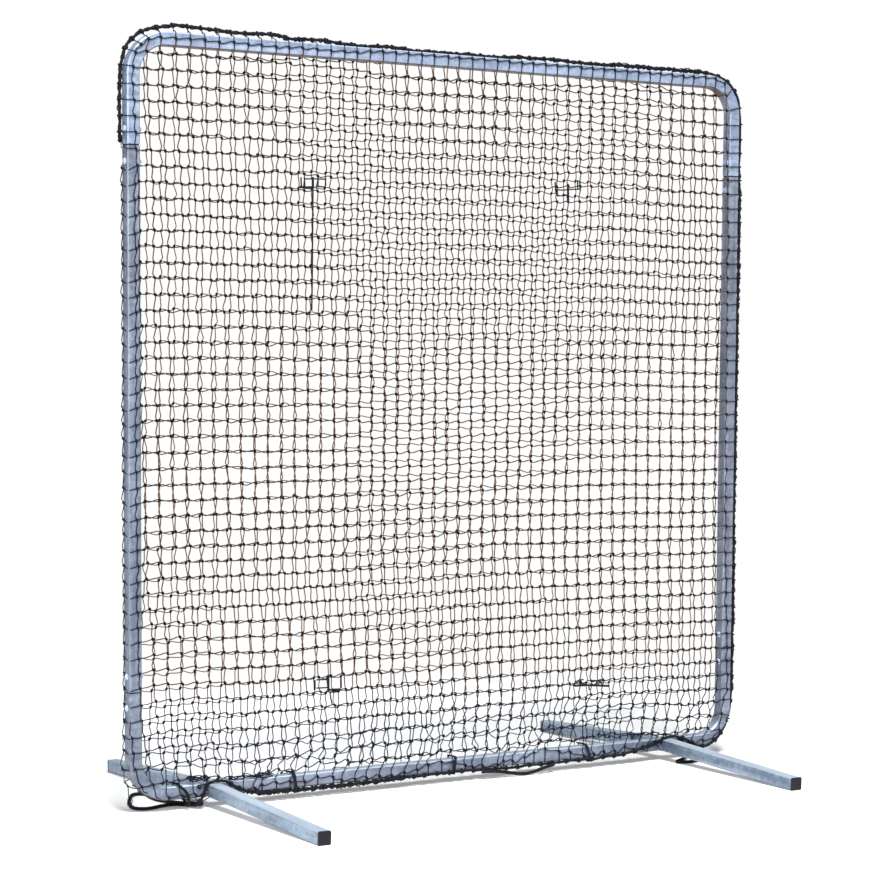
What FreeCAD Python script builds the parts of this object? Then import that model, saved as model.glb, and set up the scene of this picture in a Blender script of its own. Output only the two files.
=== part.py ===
"""Pitching target net: a square steel frame on four legs, covered on both faces with netting.

Millimetres. X runs along the frame from left to right, Y from front to back, Z up.
The origin is on the floor, under the middle of the frame.
"""
import FreeCAD
import Part
import math
import os

Vector = FreeCAD.Vector

# The frame: square tube, bent at the four corners
frame_width = 2133.6
frame_height = 2133.6
tube_side = 38.1
tube_wall = 1.65
tube_corner = 3.2
bend_radius = 101.6

# The splices in the posts: an inner sleeve and two bolts each
splice_from_edge = 312.0
seam_gap = 4.0
sleeve_reach = 75.0
sleeve_clearance = 0.4
sleeve_corner = 2.5
bolt_from_seam = 44.0
bolt_diameter = 7.9
bolt_clearance = 0.3
bolt_head_diameter = 17.0
bolt_head_height = 4.0
bolt_head_rim = 2.0
bolt_head_slant = 2.5
fastener_sides = 6
bolt_beyond_nut = 3.0
nut_flats = 12.7
nut_height = 8.0
nut_collar_height = 1.6
nut_chamfer = 0.8
thread_clearance = 0.05
insert_wall = 1.3

# The legs: each one plugs onto a spigot and slopes down from the bottom rail
leg_from_middle = 806.0
leg_reach = 655.0
leg_slope = 2.75
leg_root = 50.0
leg_gap = 2.0
spigot_reach = 150.0
cap_flange = 4.0
cap_proud = 0.4
cap_insert = 14.0
cap_wall = 2.0
cap_corner = 1.5
cap_clearance = 0.15

# The netting: every fourth string of the real mesh, as flat holed sheets
mesh_pitch = 44.45
strings_kept = 4
string_width = 2.4
net_clearance = 0.3

# The ropes and ties
rope_diameter = 8.0
rope_clearance = 0.4
rope_side_left = 13.0
rope_side_right = -12.0
knot_diameter = 22.0
knot_x = -854.0
knot_z = 17.0
cord_sides = 6
tie_diameter = 5.0
tie_clearance = 0.5
tie_places = (-896.0, -546.0, -6.0, 497.0)
mark_diameter = 4.0
mark_places = ((-488.0, 1771.6), (398.0, 1785.6), (-437.0, 324.6), (509.0, 266.6))
mark_across = 92.0
mark_down = 44.0

# Sizes that follow from the ones above
slope = math.radians(leg_slope)
half_width = frame_width / 2
half_side = tube_side / 2
inner_side = tube_side - 2 * tube_wall
axis_half_width = half_width - half_side
leg_length = leg_reach / math.cos(slope)
cap_half = half_side + cap_proud
rail_axis = (leg_length - cap_flange) * math.sin(slope) + cap_half * math.cos(slope)
frame_bottom = rail_axis - half_side
frame_top = frame_bottom + frame_height
lower_seam = frame_bottom + splice_from_edge
upper_seam = frame_top - splice_from_edge
outer_bend = bend_radius + half_side
net_pitch = mesh_pitch * strings_kept
net_inner = half_side + net_clearance
net_outer = net_inner + string_width
net_border = net_clearance + string_width
rope_radius = rope_diameter / 2
rope_out = net_border + rope_clearance + rope_radius
rope_beside = net_outer + rope_clearance + rope_radius
knot_radius = knot_diameter / 2


def rounded_square(side, corner):
    """A closed wire in the XY plane, centred, whose rounded corners are short flats."""
    half = side / 2
    flat = half - corner
    points = [
        Vector(half, -flat, 0), Vector(half, flat, 0), Vector(flat, half, 0), Vector(-flat, half, 0),
        Vector(-half, flat, 0), Vector(-half, -flat, 0), Vector(-flat, -half, 0), Vector(flat, -half, 0),
    ]
    return Part.makePolygon(points + points[:1])


def prism(sides, inner_radius, height, low=0):
    """A regular prism round the Z axis, measured from its axis to its flats."""
    radius = inner_radius / math.cos(math.pi / sides)
    points = []
    for number in range(sides):
        angle = 2 * math.pi * number / sides
        points.append(Vector(radius * math.cos(angle), radius * math.sin(angle), low))
    return Part.Face(Part.makePolygon(points + points[:1])).extrude(Vector(0, 0, height))


def holed_face(outline, holes):
    """A flat face inside one wire, with a hole inside each of the others."""
    face = Part.Face([outline] + holes)
    face.validate()
    return face


def tube_face(side, wall, corner):
    """The cross-section of a square tube, as a face with a hole."""
    opening = side - 2 * wall
    inner = Part.makePlane(opening, opening, Vector(-opening / 2, -opening / 2, 0))
    return holed_face(rounded_square(side, corner), [inner.OuterWire])


def straight_tube(side, wall, corner, length):
    """A square tube that stands on the origin, along Z."""
    return tube_face(side, wall, corner).extrude(Vector(0, 0, length))


def drill(shape, x, z):
    """Cut one bolt hole through both walls of a tube, along X."""
    hole = prism(fastener_sides, bolt_diameter / 2 + bolt_clearance, 2 * tube_side, -tube_side)
    hole.rotate(Vector(0, 0, 0), Vector(0, 1, 0), 90)
    hole.translate(Vector(x, 0, z))
    return shape.cut(hole)


def bent_section():
    """The U-shaped tube: two arms up from z = 0, two bends and the rail across."""
    arm = splice_from_edge - seam_gap / 2 - outer_bend
    rail = 2 * (axis_half_width - bend_radius)
    crown = arm + bend_radius
    up = Vector(0, 1, 0)

    face = tube_face(tube_side, tube_wall, tube_corner)
    face.translate(Vector(-axis_half_width, 0, 0))
    left_arm = face.extrude(Vector(0, 0, arm))
    face.translate(Vector(0, 0, arm))
    left_bend = face.revolve(Vector(-axis_half_width + bend_radius, 0, arm), up, 90)

    face = tube_face(tube_side, tube_wall, tube_corner)
    face.rotate(Vector(0, 0, 0), up, 90)
    face.translate(Vector(-axis_half_width + bend_radius, 0, crown))
    across = face.extrude(Vector(rail, 0, 0))
    face.translate(Vector(rail, 0, 0))
    right_bend = face.revolve(Vector(axis_half_width - bend_radius, 0, arm), up, 90)

    face = tube_face(tube_side, tube_wall, tube_corner)
    face.translate(Vector(axis_half_width, 0, 0))
    right_arm = face.extrude(Vector(0, 0, arm))
    section = left_arm.multiFuse([left_bend, across, right_bend, right_arm])
    for x in (-axis_half_width, axis_half_width):
        section = drill(section, x, bolt_from_seam - seam_gap / 2)
    return section


def top_section():
    section = bent_section()
    section.translate(Vector(0, 0, upper_seam + seam_gap / 2))
    return section


def bottom_section():
    section = bent_section()
    section.rotate(Vector(0, 0, 0), Vector(0, 1, 0), 180)
    section.translate(Vector(0, 0, lower_seam - seam_gap / 2))
    return section


def post(x):
    """A straight side tube between the two seams."""
    low = lower_seam + seam_gap / 2
    high = upper_seam - seam_gap / 2
    tube = straight_tube(tube_side, tube_wall, tube_corner, high - low)
    tube.translate(Vector(x, 0, low))
    for z in (lower_seam + bolt_from_seam, upper_seam - bolt_from_seam):
        tube = drill(tube, x, z)
    return tube


def sleeve(x, seam):
    """The smaller tube inside the posts that carries a splice."""
    side = inner_side - 2 * sleeve_clearance
    tube = straight_tube(side, tube_wall, sleeve_corner, 2 * sleeve_reach)
    tube.translate(Vector(x, 0, seam - sleeve_reach))
    for z in (seam - bolt_from_seam, seam + bolt_from_seam):
        tube = drill(tube, x, z)
    return tube


def bolt():
    """A low-headed bolt: the head's flat underside is at z = 0 and the shank runs up."""
    head_radius = bolt_head_diameter / 2
    crown_radius = head_radius - bolt_head_slant
    rim = prism(fastener_sides, head_radius, bolt_head_rim, -bolt_head_rim)
    crown = prism(fastener_sides, crown_radius, bolt_head_height - bolt_head_rim, -bolt_head_height)
    shank = prism(fastener_sides, bolt_diameter / 2, tube_side + nut_height + bolt_beyond_nut)
    return rim.multiFuse([crown, shank])


def nut():
    """A hexagonal lock nut that stands on z = 0, with the collar that holds its insert."""
    height = nut_height - nut_collar_height
    inner = bolt_diameter / 2 + thread_clearance
    body = prism(6, nut_flats / 2, height)
    collar = prism(6, nut_flats / 2 - nut_chamfer, nut_collar_height, height)
    bore = prism(fastener_sides, inner, nut_height)
    seat = prism(fastener_sides, inner + insert_wall, nut_collar_height, height)
    return body.fuse(collar).cut(bore).cut(seat)


def nut_insert():
    """The plastic ring in the top of a lock nut."""
    inner = bolt_diameter / 2 + thread_clearance
    low = nut_height - nut_collar_height
    ring = prism(fastener_sides, inner + insert_wall, nut_collar_height, low)
    return ring.cut(prism(fastener_sides, inner, nut_collar_height, low))


def bolt_levels():
    """The heights of the bolts in each post, two for each seam."""
    return [seam + step for seam in (lower_seam, upper_seam) for step in (-bolt_from_seam, bolt_from_seam)]


def at_bolt_places(make, at_nut):
    """Copies of one fastener at the eight bolt places, along X and facing inwards."""
    start = half_width - (tube_side if at_nut else 0)
    copies = []
    for side in (-1, 1):
        for level in bolt_levels():
            piece = make()
            piece.rotate(Vector(0, 0, 0), Vector(0, 1, 0), -90 * side)
            piece.translate(Vector(side * start, 0, level))
            copies.append(piece)
    return Part.Compound(copies)


def on_leg_axis(shape, x, rear):
    """Place a piece that was drawn along Z: its axis becomes a leg's sloping axis."""
    shape.rotate(Vector(0, 0, 0), Vector(1, 0, 0), 90 + leg_slope)
    if rear:
        shape.rotate(Vector(0, 0, 0), Vector(0, 0, 1), 180)
    shape.translate(Vector(x, 0, rail_axis))
    return shape


def rail_bar():
    """The bottom rail's outer form, filled in, to trim what is welded against it."""
    bar = Part.Face(rounded_square(tube_side, tube_corner)).extrude(Vector(0, 0, frame_width))
    bar.rotate(Vector(0, 0, 0), Vector(0, 1, 0), 90)
    bar.translate(Vector(-half_width, 0, rail_axis))
    return bar


def leg_stub(x, rear):
    """The short tube that is welded to the rail's face and carries a leg's root."""
    inside = half_side - tube_corner
    tube = straight_tube(tube_side, tube_wall, tube_corner, leg_root - inside)
    tube.translate(Vector(0, 0, inside))
    return on_leg_axis(tube, x, rear).cut(rail_bar())


def leg_spigot(x, rear):
    """The smaller tube inside the stub, which the leg slides onto."""
    side = inner_side - 2 * sleeve_clearance
    inside = half_side - tube_corner
    tube = straight_tube(side, tube_wall, sleeve_corner, leg_root + spigot_reach - inside)
    tube.translate(Vector(0, 0, inside))
    return on_leg_axis(tube, x, rear).cut(rail_bar())


def leg(x, rear):
    """A leg tube, from just outside its stub to the end cap's flange."""
    start = leg_root + leg_gap
    tube = straight_tube(tube_side, tube_wall, tube_corner, leg_length - cap_flange - start)
    tube.translate(Vector(0, 0, start))
    return on_leg_axis(tube, x, rear)


def leg_cap(x, rear):
    """The plastic plug in a leg's outer end; its flange is level where it stands on the floor."""
    flange = Part.Face(rounded_square(2 * cap_half, tube_corner)).extrude(Vector(0, 0, cap_flange))
    flange.translate(Vector(0, 0, leg_length - cap_flange))
    side = inner_side - 2 * cap_clearance
    plug = straight_tube(side, cap_wall, cap_corner, cap_insert)
    plug.translate(Vector(0, 0, leg_length - cap_flange - cap_insert))
    cap = on_leg_axis(flange.fuse(plug), x, rear)
    floor = Part.makeBox(4 * tube_side, 4 * leg_reach, tube_side,
                         Vector(x - 2 * tube_side, -2 * leg_reach, -tube_side))
    return cap.cut(floor)


def rounded_rectangle(low_x, low_z, high_x, high_z, radius):
    """A closed wire in the XZ plane with quarter circles at its corners."""
    corners = ((high_x, high_z), (low_x, high_z), (low_x, low_z), (high_x, low_z))
    signs = ((1, 1), (-1, 1), (-1, -1), (1, -1))
    edges = []
    ends = []
    for (x, z), (sx, sz) in zip(corners, signs):
        centre = Vector(x - sx * radius, 0, z - sz * radius)
        first = Vector(x, 0, centre.z)
        second = Vector(centre.x, 0, z)
        if sx != sz:
            first, second = second, first
        middle = centre + Vector(sx, 0, sz) * (radius * math.sqrt(0.5))
        edges.append(Part.Arc(first, middle, second).toShape())
        ends.append((first, second))
    sides = []
    for number in range(4):
        sides.append(Part.LineSegment(ends[number][1], ends[(number + 1) % 4][0]).toShape())
    ordered = []
    for arc, line in zip(edges, sides):
        ordered.extend((arc, line))
    return Part.Wire(ordered)


def string_lines(low, high):
    """Where the strings run between two borders, one pitch apart."""
    cells = max(int(round((high - low) / net_pitch)), 2)
    return [low + (high - low) * number / cells for number in range(1, cells)]


def net_panel(front):
    """One flat layer of the net: a sheet with a hole for each cell, open where the legs pass."""
    low_x = -half_width - net_border
    high_x = half_width + net_border
    low_z = frame_bottom - net_border
    high_z = frame_top + net_border
    radius = outer_bend + net_border
    outline = rounded_rectangle(low_x, low_z, high_x, high_z, radius)
    inner = Part.Face(rounded_rectangle(low_x + string_width, low_z + string_width, high_x - string_width,
                                        high_z - string_width, radius - string_width))
    half_string = string_width / 2
    columns = [low_x] + string_lines(-half_width, half_width) + [high_x]
    rows = [low_z] + string_lines(frame_bottom, frame_top) + [high_z]
    holes = []
    for left, right in zip(columns, columns[1:]):
        for low, high in zip(rows, rows[1:]):
            cell = Part.makePlane(right - left - string_width, high - low - string_width,
                                  Vector(left + half_string, 0, low + half_string), Vector(0, -1, 0),
                                  Vector(1, 0, 0))
            if low_x in (left, -right) or low == low_z or high == high_z:
                cell = cell.common(inner).Faces[0]
            holes.append(cell.OuterWire)
    panel = holed_face(outline, holes).extrude(Vector(0, string_width, 0))
    panel.translate(Vector(0, -net_outer if front else net_inner, 0))
    return open_at_legs(panel)


def open_at_legs(net):
    """Cut the net's lower edge where the leg roots cross it."""
    width = tube_side + 2 * net_border
    for x in (-leg_from_middle, leg_from_middle):
        gate = Part.makeBox(width, 4 * net_outer, tube_side + 4 * net_border,
                            Vector(x - width / 2, -2 * net_outer, frame_bottom - 2 * net_border))
        net = net.cut(gate)
    return net


def net_edge(length, places):
    """A ladder of strings across a tube's outer face, along X, centred and flat on z = 0."""
    outline = Part.makePlane(length, 2 * net_inner, Vector(-length / 2, -net_inner, 0))
    half_string = string_width / 2
    rails = [-length / 2 + half_string] + places + [length / 2 - half_string]
    holes = []
    for left, right in zip(rails, rails[1:]):
        hole = Part.makePlane(right - left - string_width, 2 * (net_inner - string_width),
                              Vector(left + half_string, -net_inner + string_width, 0))
        holes.append(hole.OuterWire)
    return holed_face(outline.OuterWire, holes).extrude(Vector(0, 0, string_width))


def straight_strings(low, high, middle):
    """The string places that lie on a frame side's straight stretch, from its middle."""
    first = low + outer_bend + string_width
    last = high - outer_bend - string_width
    return [place - middle for place in string_lines(low, high) if first < place < last]


def top_edge():
    """The edge ladder on the top rail's upper face."""
    ladder = net_edge(frame_width - 2 * outer_bend, straight_strings(-half_width, half_width, 0))
    ladder.translate(Vector(0, 0, frame_top + net_clearance))
    return ladder


def bottom_edge():
    """The edge ladder under the bottom rail, open where the leg roots cross it."""
    ladder = net_edge(frame_width - 2 * outer_bend, straight_strings(-half_width, half_width, 0))
    ladder.translate(Vector(0, 0, frame_bottom - net_border))
    return open_at_legs(ladder)


def upright_edge(side):
    """The edge ladder on the outer face of a post, whose strings keep clear of the bolt heads."""
    middle = (frame_bottom + frame_top) / 2
    clear = bolt_head_diameter / 2 + string_width
    places = [place for place in straight_strings(frame_bottom, frame_top, middle)
              if min(abs(place + middle - level) for level in bolt_levels()) > clear]
    ladder = net_edge(frame_height - 2 * outer_bend, places)
    ladder.rotate(Vector(0, 0, 0), Vector(0, 1, 0), -90)
    if side > 0:
        ladder.translate(Vector(half_width + net_border, 0, middle))
    else:
        ladder.translate(Vector(-half_width - net_clearance, 0, middle))
    return ladder


def route_edges(points, radii):
    """Straight runs and tangent arcs through a list of points."""
    edges = []
    here = points[0]
    for before, corner, after, radius in zip(points, points[1:], points[2:], radii):
        back = (before - corner).normalize()
        on = (after - corner).normalize()
        half_turn = (math.pi - back.getAngle(on)) / 2
        cut = radius * math.tan(half_turn)
        start = corner + back * cut
        end = corner + on * cut
        bisector = (back + on).normalize()
        middle = corner + bisector * (radius / math.cos(half_turn) - radius)
        edges.append(Part.LineSegment(here, start).toShape())
        edges.append(Part.Arc(start, middle, end).toShape())
        here = end
    edges.append(Part.LineSegment(here, points[-1]).toShape())
    return edges


def cord_section(diameter, place, direction):
    """A cord's cross-section: a regular outline with few sides, square to a direction."""
    ring = Part.makeCircle(diameter / 2, place, direction)
    points = ring.discretize(Number=cord_sides + 1)
    return Part.makePolygon(points[:-1] + points[:1])


def cord_along(name, points, radii, diameter):
    """A cord on a route, checked against its section times its length."""
    path = Part.Wire(route_edges(points, radii))
    section = cord_section(diameter, points[0], points[1] - points[0])
    cord = path.makePipeShell([section], True, False)
    share = cord.Volume / (Part.Face(section).Area * path.Length)
    print(name, "length", round(path.Length, 1), "volume share", round(share, 4),
          "radii", [round(radius, 1) for radius in radii])
    return cord


def free_radii(points):
    """The arc radius at each inner point of a free cord: as large as its two runs allow."""
    radii = []
    for before, corner, after in zip(points, points[1:], points[2:]):
        first = before - corner
        second = after - corner
        half_turn = (math.pi - first.getAngle(second)) / 2
        radii.append(0.45 * min(first.Length, second.Length) / math.tan(half_turn))
    return radii


def border_rope():
    """The rope that laces the net's open edges, from the left post round to the lower left corner."""
    side = half_width + rope_out
    top = frame_top + rope_out
    under = frame_bottom - rope_out
    front = -rope_beside
    back = rope_beside
    bend = outer_bend + rope_out
    arch = rail_axis + half_side + rope_radius + 1.0
    leg_side = half_side + rope_radius + 1.0
    start_high = upper_seam + 8.0
    route = [
        (-side + 36, back, start_high, 0),
        (-side, back, start_high + 3, 9.0),
        (-side, rope_side_left, start_high + 40, 60.0),
        (-side, rope_side_left, top + 8, bend),
        (-880, 12, top + 13, 300.0),
        (-610, 13, top + 9, 300.0),
        (-365, 15, top + 1, 300.0),
        (-150, 17, top + 0.2, 300.0),
        (60, 14, top + 0.5, 300.0),
        (310, 8, top + 2, 300.0),
        (600, -4, top + 2, 300.0),
        (side, rope_side_right, top, bend),
        (side, rope_side_right, under, bend),
        (905, front, under, 40.0),
        (leg_from_middle + leg_side + 28, front, arch, 40.0),
        (leg_from_middle - leg_side - 8, front, arch, 40.0),
        (690, front, under + 10, 60.0),
        (540, front, under, 200.0),
        (-600, front, under, 200.0),
        (-700, front, under + 3, 40.0),
        (-leg_from_middle + leg_side + 14, front, arch, 34.0),
        (-leg_from_middle - leg_side, front, arch, 12.0),
        (-leg_from_middle - leg_side - 20, front, frame_bottom + 4, 14.0),
        (knot_x, front, knot_z + knot_radius - 1, 0),
    ]
    points = [Vector(x, y, z) for x, y, z, radius in route]
    radii = [radius for x, y, z, radius in route][1:-1]
    return cord_along("border_rope", points, radii, rope_diameter)


def free_cord(name, route):
    """A cord that hangs or lies free, through hand-picked points."""
    points = [Vector(*place) for place in route]
    return cord_along(name, points, free_radii(points), rope_diameter)


tail_route = (
    (-863, -22, 12), (-867, 24, 6), (-900, 54, 4.3), (-944, 42, 4.3), (-990, 27, 4.3),
    (-1022, 58, 4.3), (-1012, 106, 4.3), (-986, 152, 4.3), (-972, 205, 4.3), (-940, 262, 4.3),
    (-893, 240, 4.3), (-908, 186, 4.3), (-909, 128, 4.3), (-884, 78, 4.3), (-854, 36, 5),
    (-847, -14, 12),
)
middle_route = (
    (96, -35, 25), (148, -36, 24), (200, -35, 13), (244, -34, 5.2), (288, -34, 8), (328, -36, 21),
    (360, -35, 25),
)
right_route = (
    (906, -35, 25), (914, -64, 9), (896, -98, 4.3), (860, -123, 4.3), (819, -126, 4.3), (799, -92, 4.3),
    (824, -60, 4.3), (858, -47, 9), (880, -36, 24),
)


def border_knot(cords):
    """The knot that ends the border rope, with the seats of the cords that leave it."""
    knot = prism(fastener_sides, knot_radius, knot_diameter, -knot_radius)
    across = knot.copy()
    across.rotate(Vector(0, 0, 0), Vector(1, 0, 0), 90)
    along = knot.copy()
    along.rotate(Vector(0, 0, 0), Vector(0, 1, 0), 90)
    knot = knot.common(across).common(along)
    knot.translate(Vector(knot_x, -rope_beside, knot_z))
    for cord in cords:
        knot = knot.cut(cord)
    return knot


def rail_ties():
    """Cords tied round the bottom rail, which also hold the border rope."""
    radius = tie_diameter / 2
    back = net_outer + tie_clearance + radius
    top = rail_axis + half_side + net_border + tie_clearance + radius
    low = frame_bottom - net_border - tie_clearance - radius
    front = rope_beside + rope_radius + tie_clearance + radius
    under = frame_bottom - rope_out - rope_radius - tie_clearance - radius
    ties = []
    for x in tie_places:
        corners = ((back, top), (-back, top), (-front, frame_bottom), (-front, under),
                   (-front + 2 * rope_diameter, under), (back, low))
        points = [Vector(x, y, z) for y, z in corners]
        middle = (points[0] + points[-1]) * 0.5
        path = Part.makePolygon([middle] + points + [middle])
        section = cord_section(tie_diameter, middle, points[0] - middle)
        ties.append(path.makePipeShell([section], True, False, 1))
    return Part.Compound(ties)


def target_ties():
    """Short heavy cords on the front layer, at the corners where a target is tied."""
    radius = mark_diameter / 2
    y = -net_outer - rope_clearance - radius
    ties = []
    for x, z in mark_places:
        points = [Vector(x - mark_across / 2, y, z), Vector(x + mark_across / 2, y, z),
                  Vector(x + mark_across / 2, y, z - mark_down)]
        section = cord_section(mark_diameter, points[0], points[1] - points[0])
        ties.append(Part.makePolygon(points).makePipeShell([section], True, False, 1))
    return Part.Compound(ties)


def make_parts():
    """Every piece of the object, by name."""
    rope = border_rope()
    tail = free_cord("tail_loop", tail_route)
    parts = {
        "top_section": top_section(),
        "bottom_section": bottom_section(),
        "left_post": post(-axis_half_width),
        "right_post": post(axis_half_width),
        "upper_left_sleeve": sleeve(-axis_half_width, upper_seam),
        "upper_right_sleeve": sleeve(axis_half_width, upper_seam),
        "lower_left_sleeve": sleeve(-axis_half_width, lower_seam),
        "lower_right_sleeve": sleeve(axis_half_width, lower_seam),
        "splice_bolts": at_bolt_places(bolt, False),
        "splice_nuts": at_bolt_places(nut, True),
        "nut_inserts": at_bolt_places(nut_insert, True),
        "front_net": net_panel(True),
        "rear_net": net_panel(False),
        "net_top_edge": top_edge(),
        "net_bottom_edge": bottom_edge(),
        "net_left_fold": upright_edge(-1),
        "net_right_edge": upright_edge(1),
        "border_rope": rope,
        "border_knot": border_knot([rope, tail]),
        "rail_ties": rail_ties(),
        "target_ties": target_ties(),
        "tail_loop": tail,
        "middle_slack_loop": free_cord("middle_slack_loop", middle_route),
        "right_slack_loop": free_cord("right_slack_loop", right_route),
    }
    for end, rear in (("front", False), ("rear", True)):
        for side, x in (("left", -leg_from_middle), ("right", leg_from_middle)):
            place = end + "_" + side
            parts[place + "_stub"] = leg_stub(x, rear)
            parts[place + "_spigot"] = leg_spigot(x, rear)
            parts[place + "_leg"] = leg(x, rear)
            parts[place + "_cap"] = leg_cap(x, rear)
    return parts


os.makedirs("parts", exist_ok=True)
for name, shape in make_parts().items():
    shape.exportStep("parts/" + name + ".step")
    print(name, len(shape.Solids), "solids", "valid", shape.isValid(), "volume", round(shape.Volume))
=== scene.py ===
# %% [markdown]
# This lesson dresses a pitching target net: a square frame of galvanised tube on four legs, with
# black knotted netting stretched over both of its faces and a rope laced round the edge.
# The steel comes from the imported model. The netting, ropes and ties are made here, because a CAD
# sheet with holes can't show how string hangs. We start by loading that model as a fixed frame.

import math
import random

import bmesh
import bpy
from mathutils import Matrix, Vector, noise


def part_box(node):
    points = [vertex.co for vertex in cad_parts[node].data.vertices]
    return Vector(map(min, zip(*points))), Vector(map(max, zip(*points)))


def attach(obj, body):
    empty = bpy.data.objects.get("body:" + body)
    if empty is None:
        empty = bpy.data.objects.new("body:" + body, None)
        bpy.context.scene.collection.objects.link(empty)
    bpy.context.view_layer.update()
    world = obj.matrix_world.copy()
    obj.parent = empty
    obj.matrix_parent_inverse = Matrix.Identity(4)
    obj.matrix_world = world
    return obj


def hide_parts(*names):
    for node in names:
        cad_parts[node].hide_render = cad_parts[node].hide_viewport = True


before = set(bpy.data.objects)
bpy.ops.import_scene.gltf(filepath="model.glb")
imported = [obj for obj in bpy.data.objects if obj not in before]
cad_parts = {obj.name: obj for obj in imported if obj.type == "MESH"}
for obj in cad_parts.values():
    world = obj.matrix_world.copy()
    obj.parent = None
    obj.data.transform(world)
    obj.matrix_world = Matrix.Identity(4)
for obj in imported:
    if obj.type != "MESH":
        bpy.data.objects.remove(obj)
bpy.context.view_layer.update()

# %% [markdown]
# Every later piece leans on a few sizes of the frame. A box doesn't tell a bend's radius, so that is
# written.

# %% Measure the frame
half_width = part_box("top_section")[1].x
frame_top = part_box("top_section")[1].z
frame_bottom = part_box("bottom_section")[0].z
half_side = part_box("top_section")[1].y
tube_side = 2 * half_side
centreline_bend = 0.1016
bend = centreline_bend + half_side
middle_height = (frame_top + frame_bottom) / 2
half_height = (frame_top - frame_bottom) / 2
print("frame", round(2 * half_width, 4), "wide, top", round(frame_top, 4), "bottom", round(frame_bottom, 4))

# %% [markdown]
# The camera stands low and to the left, so both the front and the left side of the posts show. A long
# lens keeps the uprights nearly parallel. The picture's middle isn't where the lens points, so the
# camera shifts a little instead of turning, which keeps the uprights from leaning.


# %% Camera
def add_object(name, data):
    """A new object that shows this data, in the scene."""
    thing = bpy.data.objects.new(name, data)
    bpy.context.scene.collection.objects.link(thing)
    return thing


camera_place = (-3.9996, -6.2542, 1.30965)
turn_left, look_down, roll = 0.564, -0.0825, 0.0063
right = Vector((math.cos(turn_left), -math.sin(turn_left), 0))
ahead = Vector((math.sin(turn_left) * math.cos(look_down), math.cos(turn_left) * math.cos(look_down),
                math.sin(look_down)))
up = right.cross(ahead)
rolled_right = right * math.cos(roll) + up * math.sin(roll)
rolled_up = up * math.cos(roll) - right * math.sin(roll)
camera_data = bpy.data.cameras.new("camera")
camera_data.lens = 102.18
camera_data.sensor_width = 36
camera_data.shift_x = -0.0013
camera_data.shift_y = 0.1304
camera_data.clip_end = 100
camera = add_object("camera", camera_data)
turned = Matrix((rolled_right, rolled_up, -ahead)).transposed().to_4x4()
camera.matrix_world = Matrix.Translation(camera_place) @ turned
bpy.context.scene.camera = camera
print("camera at", [round(v, 3) for v in camera.location])

# %% [markdown]
# A cord is a curve with a round bevel. Its route is a NURBS spline, which passes smoothly near its
# control points, as rope does. The order and the end setting come after the points, because before
# them Blender keeps the spline at order 2, which is straight runs. read_line gives the smooth line's
# own points back, for whatever has to follow the cord.


# %% Helpers for cords
def curve_mesh(name, lines, thickness, smooth=0):
    """The mesh of round lines of (point, radius factor): NURBS splines if smooth, else straight runs."""
    curve = bpy.data.curves.new(name, "CURVE")
    curve.dimensions = "3D"
    curve.bevel_depth = thickness / 2
    curve.bevel_resolution = 1
    curve.use_fill_caps = True
    for line in lines:
        spline = curve.splines.new("NURBS" if smooth else "POLY")
        spline.points.add(len(line) - 1)
        for point, (place, factor) in zip(spline.points, line):
            point.co = (*place, 1)
            point.radius = factor
        if smooth:
            spline.order_u = 3
            spline.use_endpoint_u = True
            spline.resolution_u = smooth
        spline.use_smooth = True
    thing = add_object(name, curve)
    mesh = bpy.data.meshes.new_from_object(thing.evaluated_get(bpy.context.evaluated_depsgraph_get()))
    bpy.data.objects.remove(thing)
    mesh.name = name
    return mesh


def cords(name, lines, thickness, smooth=0):
    """A mesh object of such lines, at the origin."""
    return add_object(name, curve_mesh(name, lines, thickness, smooth))


def read_line(route):
    """The points of the smooth line that a route's NURBS spline makes."""
    mesh = curve_mesh("line", [[(place, 1) for place in route]], 0, 12)
    points = [vertex.co.copy() for vertex in mesh.vertices]
    bpy.data.meshes.remove(mesh)
    return points


def length_of(points):
    return sum((b - a).length for a, b in zip(points, points[1:]))


# %% [markdown]
# Laid rope is three strands twisted round each other. A plain round tube would look like a hose, so
# each strand is a helix round the rope's line. The helix needs two directions square to the line at
# every point; they are carried along from point to point so that they never flip.


# %% Helpers for laid rope
def evenly(points, step):
    """Points one step apart along a line."""
    placed = [points[0]]
    left = step
    for a, b in zip(points, points[1:]):
        run = (b - a).length
        while left <= run:
            placed.append(a.lerp(b, left / run))
            left += step
        left -= run
    placed.append(points[-1])
    return placed


def wound(points, lay, count, steps, reach):
    """Helical lines round a line, in so many steps a turn; reach(number, strand) is how far out."""
    points = evenly(points, lay / steps)
    side = (points[1] - points[0]).orthogonal().normalized()
    lines = [[] for strand in range(count)]
    for number, place in enumerate(points):
        following = points[min(number + 1, len(points) - 1)] - points[max(number - 1, 0)]
        following.normalize()
        side = (side - following * side.dot(following)).normalized()
        other = following.cross(side)
        for strand in range(count):
            angle = 2 * math.pi * (number / steps + strand / count)
            out = side * math.cos(angle) + other * math.sin(angle)
            lines[strand].append((place + out * reach(number, strand), 1))
    return lines


def rope_object(name, points, thickness, lay):
    """A laid rope of three strands that fills the given thickness."""
    strand_reach = thickness * 0.24
    strand_thickness = thickness * 0.56
    lines = wound(points, lay, 3, 8, lambda number, strand: strand_reach)
    return cords(name, lines, strand_thickness)


# %% [markdown]
# The border rope laces the net's open edges. It starts on the left post at the upper joint, runs over
# the top rail from its back edge to its front edge, down the right post, and back along the bottom
# rail, where it arches over the two front leg roots. The points below are its route in metres. Along
# the top it isn't straight: the net pulls it into low humps.

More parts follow.
